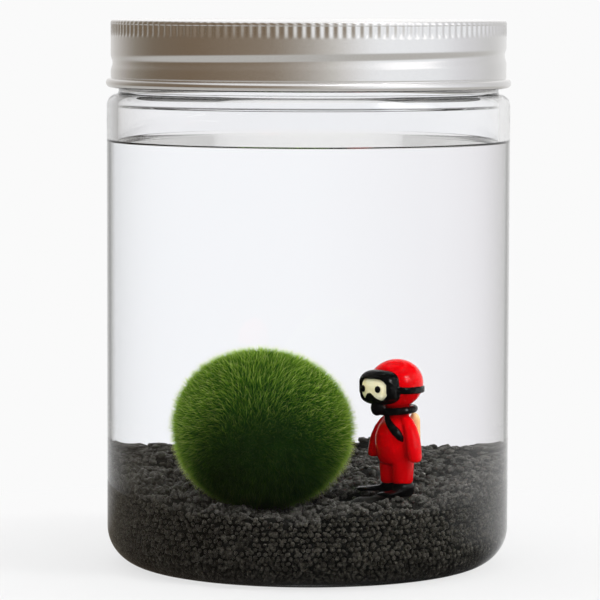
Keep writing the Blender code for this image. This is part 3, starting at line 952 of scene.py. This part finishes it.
def make_fin(name, side, splay, lift, black):
    """A boot and its fin, turned by splay. lift raises the blade off the ground."""
    boot = ellipsoid((0, 0.1, 2.1), (2.2, 2.6, 2.1), power=0.8)
    blade_verts, blade_faces = loft([
        (-0.5, 0, 1.4, 1.4, 1.0), (-3.0, 0, 1.2, 1.6, 0.75), (-5.0, 0, 1.1, 1.95, 0.65),
        (-6.5, 0, 1.05, 1.9, 0.55), (-7.1, 0, 1.05, 1.5, 0.35),
    ], axis="Y")
    blade = (blade_verts + [0, 0, lift], blade_faces)
    turn = np.array(Matrix.Rotation(splay, 3, "Z"))
    shapes = [(verts @ turn.T + [side * LEG_APART, 0, 0], faces) for verts, faces in (boot, blade)]
    fused("diver_black_fin_" + name, "diver_fin_" + name, shapes, black, voxel=0.15, rounds=4)


def make_diver():
    black = coloured_glass("black_glass", (0.0014, 0.0014, 0.0014), (0.0008, 0.0008, 0.0008))
    make_suit()
    make_mask(black)
    make_face(black)
    make_hose(black)
    make_tank()
    make_fin("near", 1, radians(12), 0.3, black)
    make_fin("far", -1, radians(-46), 0.9, black)


# Stage ------------------------------------------------------------------------------------------
PAPER = 0.956                  # what an overexposed white sheet looks like
FLOOR_TONE = 0.34              # of the floor's matt part
# Light that comes straight through the jar: (degrees from straight behind towards +X, colour)
BACKDROP = (
    (-180, (0.95, 0.96, 0.98)),
    (-76, (0.98, 0.98, 1.0)),
    (-67, (0.60, 0.59, 0.58)),
    (-61, (0.12, 0.12, 0.11)),
    (-56, (0.60, 0.60, 0.60)),
    (-51, (0.70, 0.69, 0.70)),
    (-36, (0.84, 0.83, 0.86)),
    (-20, (0.93, 0.93, 0.96)),
    (0, (0.99, 1.0, 1.03)),
    (51, (1.0, 1.02, 1.05)),
    (56, (0.65, 0.65, 0.65)),
    (61, (0.12, 0.12, 0.11)),
    (67, (0.60, 0.59, 0.58)),
    (76, (0.98, 0.98, 1.0)),
    (180, (0.95, 0.96, 0.98)),
)
# The room at eye height, as the lid and the other glossy pieces mirror it
ROOM = (
    (-180, (0.40, 0.37, 0.33)),
    (-160, (0.25, 0.20, 0.15)),
    (-110, (0.17, 0.12, 0.075)),
    (-80, (0.17, 0.13, 0.09)),
    (-60, (0.25, 0.22, 0.18)),
    (-30, (0.60, 0.58, 0.56)),
    (0, (0.95, 0.95, 0.95)),
    (50, (0.60, 0.60, 0.60)),
    (80, (0.72, 0.72, 0.75)),
    (100, (0.88, 0.90, 0.93)),
    (140, (0.93, 0.95, 0.98)),
    (152, (0.80, 0.80, 0.81)),
    (165, (0.60, 0.58, 0.55)),
    (180, (0.40, 0.37, 0.33)),
)
# What lights the matt pieces, at eye height
LIGHTING = (
    (-180, (0.15, 0.15, 0.15)),
    (-120, (0.25, 0.24, 0.22)),
    (-70, (1.4, 1.38, 1.35)),
    (0, (3.0, 3.0, 3.0)),
    (70, (2.6, 2.6, 2.6)),
    (130, (0.90, 0.90, 0.90)),
    (180, (0.15, 0.15, 0.15)),
)
# What the glass mirrors, as through a polarising filter
FRONT_SHADE = (0.03, 0.03, 0.03)
MIRRORED = (
    (-180, FRONT_SHADE),
    (-120, (0.05, 0.04, 0.03)),
    (-60, (0.18, 0.16, 0.13)),
    (-25, (0.60, 0.60, 0.60)),
    (0, (0.95, 0.95, 0.95)),
    (25, (0.85, 0.85, 0.85)),
    (75, (0.80, 0.80, 0.80)),
    (92, (0.45, 0.45, 0.45)),
    (112, (0.06, 0.06, 0.06)),
    (130, (0.02, 0.02, 0.02)),
    (180, FRONT_SHADE),
)
CEILING = (0.85, 0.85, 0.86)   # over the room's walls
GROUND = (0.50, 0.49, 0.47)    # under them
OVERHEAD = (2.6, 2.6, 2.62)    # what lights the matt pieces from above

# The lit panels of the room: (sides, in turns from straight in front by way of -X; lower and upper
# end, as the sine of their height; soft edge)
SOFTBOX = ((0.76, 0.89), (0.1, 0.8), 0.03)
GLEAM = ((0.815, 0.87), (0.5, 0.7), 0.01)
SPARK = ((0.79, 0.86), (0.44, 0.72), 0.01)
LAMP = ((0.815, 0.845), (0.875, 0.915), 0.003)
# How bright each one is
SOFTBOX_IN_GLASS = (2.0, 2.0, 2.0)
SOFTBOX_IN_LID = (1.18, 1.18, 1.2)
SOFTBOX_LIGHT = (3.2, 3.2, 3.2)
GLEAM_IN_GLASS = (7.0, 7.0, 7.0)
SPARK_IN_WATER = (160.0, 160.0, 160.0)      # as the things in the water mirror it
LAMP_LIGHT = (300.0, 300.0, 300.0)


def directions(stops):
    """Turn degrees from straight behind into a ramp's 0 to 1."""
    return [((degrees + 180) / 360, colour) for degrees, colour in stops]


def turn_of(tree, axes):
    """The compass direction of a vector's X and Y, with straight behind at 0.5."""
    azimuth = maths(tree, "ARCTAN2", axes["X"], axes["Y"])
    return maths(tree, "MULTIPLY_ADD", azimuth, 1 / (2 * pi), 0.5)


def straight_through(tree, path):
    """1 for a ray that has only passed through glass and water since the camera, or else 0."""
    clear = maths(tree, "SUBTRACT", path["Is Transmission Ray"], path["Glossy Depth"], clamp=True)
    return maths(tree, "SUBTRACT", clear, path["Diffuse Depth"], clamp=True)


def sharp_reflection(tree, path):
    """1 for a ray that the glass or the water has mirrored on its way from the camera, or else 0."""
    sharp = maths(tree, "SUBTRACT", path["Is Singular Ray"], straight_through(tree, path), clamp=True)
    return maths(tree, "SUBTRACT", sharp, path["Diffuse Depth"], clamp=True)


def from_the_water(tree, path):
    """1 for a ray that a thing in the water has mirrored, or else 0. Such a ray has crossed the glass's
    two faces and the water's side on its way in and again on its way out."""
    crossings = 6.0
    crossed = maths(tree, "COMPARE", path["Transmission Depth"], crossings, 0.5)
    inside = maths(tree, "MULTIPLY", crossed, path["Glossy Depth"], clamp=True)
    return maths(tree, "SUBTRACT", inside, path["Diffuse Depth"], clamp=True)


def panel(tree, turn, height, sides, ends, soft):
    """1 inside a lit panel of the room, fading to 0 over its soft edge."""
    left = between(tree, turn, sides[0], sides[0] + soft)
    right = between(tree, turn, sides[1], sides[1] - soft)
    low = between(tree, height, ends[0], ends[0] + 3 * soft)
    high = between(tree, height, ends[1], ends[1] - 3 * soft)
    inside = maths(tree, "MULTIPLY", left, right)
    inside = maths(tree, "MULTIPLY", inside, low)
    return maths(tree, "MULTIPLY", inside, high)


def make_world():
    """A studio that looks different to each kind of ray: paper to the camera, a backdrop through the
    glass, and rooms of their own to what mirrors it and to what it lights."""
    world = bpy.data.worlds.new("studio")
    bpy.context.scene.world = world
    world.use_nodes = True
    tree = world.node_tree
    tree.nodes.clear()
    direction = node(tree, "ShaderNodeTexCoord").outputs["Generated"]
    axes = node(tree, "ShaderNodeSeparateXYZ", [("Vector", direction)]).outputs
    path = node(tree, "ShaderNodeLightPath").outputs
    turn, height = turn_of(tree, axes), axes["Z"]
    softbox, gleam, spark, lamp = (
        panel(tree, turn, height, *each) for each in (SOFTBOX, GLEAM, SPARK, LAMP)
    )

    backdrop = ramp(tree, turn, directions(BACKDROP))
    steep = maths(tree, "ABSOLUTE", height)
    backdrop = mixed(tree, between(tree, steep, 0.15, 0.3), backdrop, (0.98, 0.98, 1.0, 1.0))

    room = ramp(tree, turn, directions(ROOM))
    room = mixed(tree, between(tree, height, 0.6, 0.9), room, (*CEILING, 1.0))
    room = mixed(tree, between(tree, height, -0.1, -0.35), room, (*GROUND, 1.0))
    room = mixed(tree, softbox, room, (*SOFTBOX_IN_LID, 1.0))

    lighting = ramp(tree, turn, directions(LIGHTING))
    lighting = mixed(tree, between(tree, height, 0.1, 0.6), lighting, (*OVERHEAD, 1.0))
    lighting = mixed(tree, softbox, lighting, (*SOFTBOX_LIGHT, 1.0))
    lighting = mixed(tree, lamp, lighting, (*LAMP_LIGHT, 1.0))

    mirrored = ramp(tree, turn, directions(MIRRORED))
    mirrored = mixed(tree, softbox, mirrored, (*SOFTBOX_IN_GLASS, 1.0))
    in_water = mixed(tree, spark, mirrored, (*SPARK_IN_WATER, 1.0))
    mirrored = mixed(tree, gleam, mirrored, (*GLEAM_IN_GLASS, 1.0))

    seen = mixed(tree, path["Is Glossy Ray"], lighting, room)
    seen = mixed(tree, sharp_reflection(tree, path), seen, mirrored)
    seen = mixed(tree, from_the_water(tree, path), seen, in_water)
    seen = mixed(tree, straight_through(tree, path), seen, backdrop)
    seen = mixed(tree, maths(tree, "MINIMUM", path["Diffuse Depth"], 1.0), seen, lighting)
    seen = mixed(tree, path["Is Camera Ray"], seen, grey(PAPER))
    light = node(tree, "ShaderNodeBackground", [("Color", seen)])
    output = node(tree, "ShaderNodeOutputWorld")
    tree.links.new(light.outputs[0], output.inputs["Surface"])


def floor_material():
    """It glows as bright as what lies round it, whether it is seen straight, through the glass or
    mirrored in it. Towards its middle a share of it is matt, to take the jar's shadow."""
    made, tree, shader = surface("pale_sheet")
    tree.nodes.remove(shader)
    path = node(tree, "ShaderNodeLightPath").outputs
    clear = straight_through(tree, path)
    sharp = sharp_reflection(tree, path)
    around = node(tree, "ShaderNodeSeparateXYZ", [("Vector", place(tree))]).outputs
    shade = ramp(tree, turn_of(tree, around), directions(MIRRORED))
    level = mixed(tree, path["Is Camera Ray"], (*GROUND, 1.0), grey(PAPER))
    level = mixed(tree, clear, level, (1.0, 1.0, 1.02, 1.0))
    level = mixed(tree, sharp, level, shade)
    matt = node(tree, "ShaderNodeBsdfDiffuse", [("Color", grey(FLOOR_TONE))])
    glow = node(tree, "ShaderNodeEmission", [("Color", level)])
    away = length_of(tree, place(tree))
    share = maths(tree, "MAXIMUM", between(tree, away, 0.07, 0.15, 0.7, 1.0), clear)
    mix_shaders(tree, maths(tree, "MAXIMUM", share, sharp), matt, glow)
    return made


def make_floor():
    """A pale round sheet, a hair below the jar's foot."""
    profile = [(0.0, 0.0)] + [(radius, 0.0) for radius in np.linspace(0.02, FLOOR_RADIUS, 12)]
    verts, faces, _ = wrapped(turned(profile, 96))
    floor = new_object("floor", verts, faces, [floor_material()])
    floor.location.z = -0.02 * MM


def make_camera():
    data = bpy.data.cameras.new("camera")
    data.sensor_width = SENSOR_WIDTH
    data.lens = LENS
    camera = put_in_scene("camera", data)
    turn = Matrix.Rotation(CAMERA_TURN, 4, "Z")
    tilt = Matrix.Rotation(pi / 2 - CAMERA_DOWN, 4, "X")
    roll = Matrix.Rotation(CAMERA_ROLL, 4, "Z")
    camera.matrix_world = Matrix.Translation(CAMERA_PLACE) @ turn @ tilt @ roll
    bpy.context.scene.camera = camera


def main():
    make_camera()
    make_world()
    make_floor()
    make_jar()
    make_water()
    make_lid()
    make_liner()
    make_wall_grains()
    make_top_grains()
    make_bed()
    make_fibres()
    make_felt()
    make_diver()
    bpy.context.scene.view_settings.view_transform = "Standard"


main()
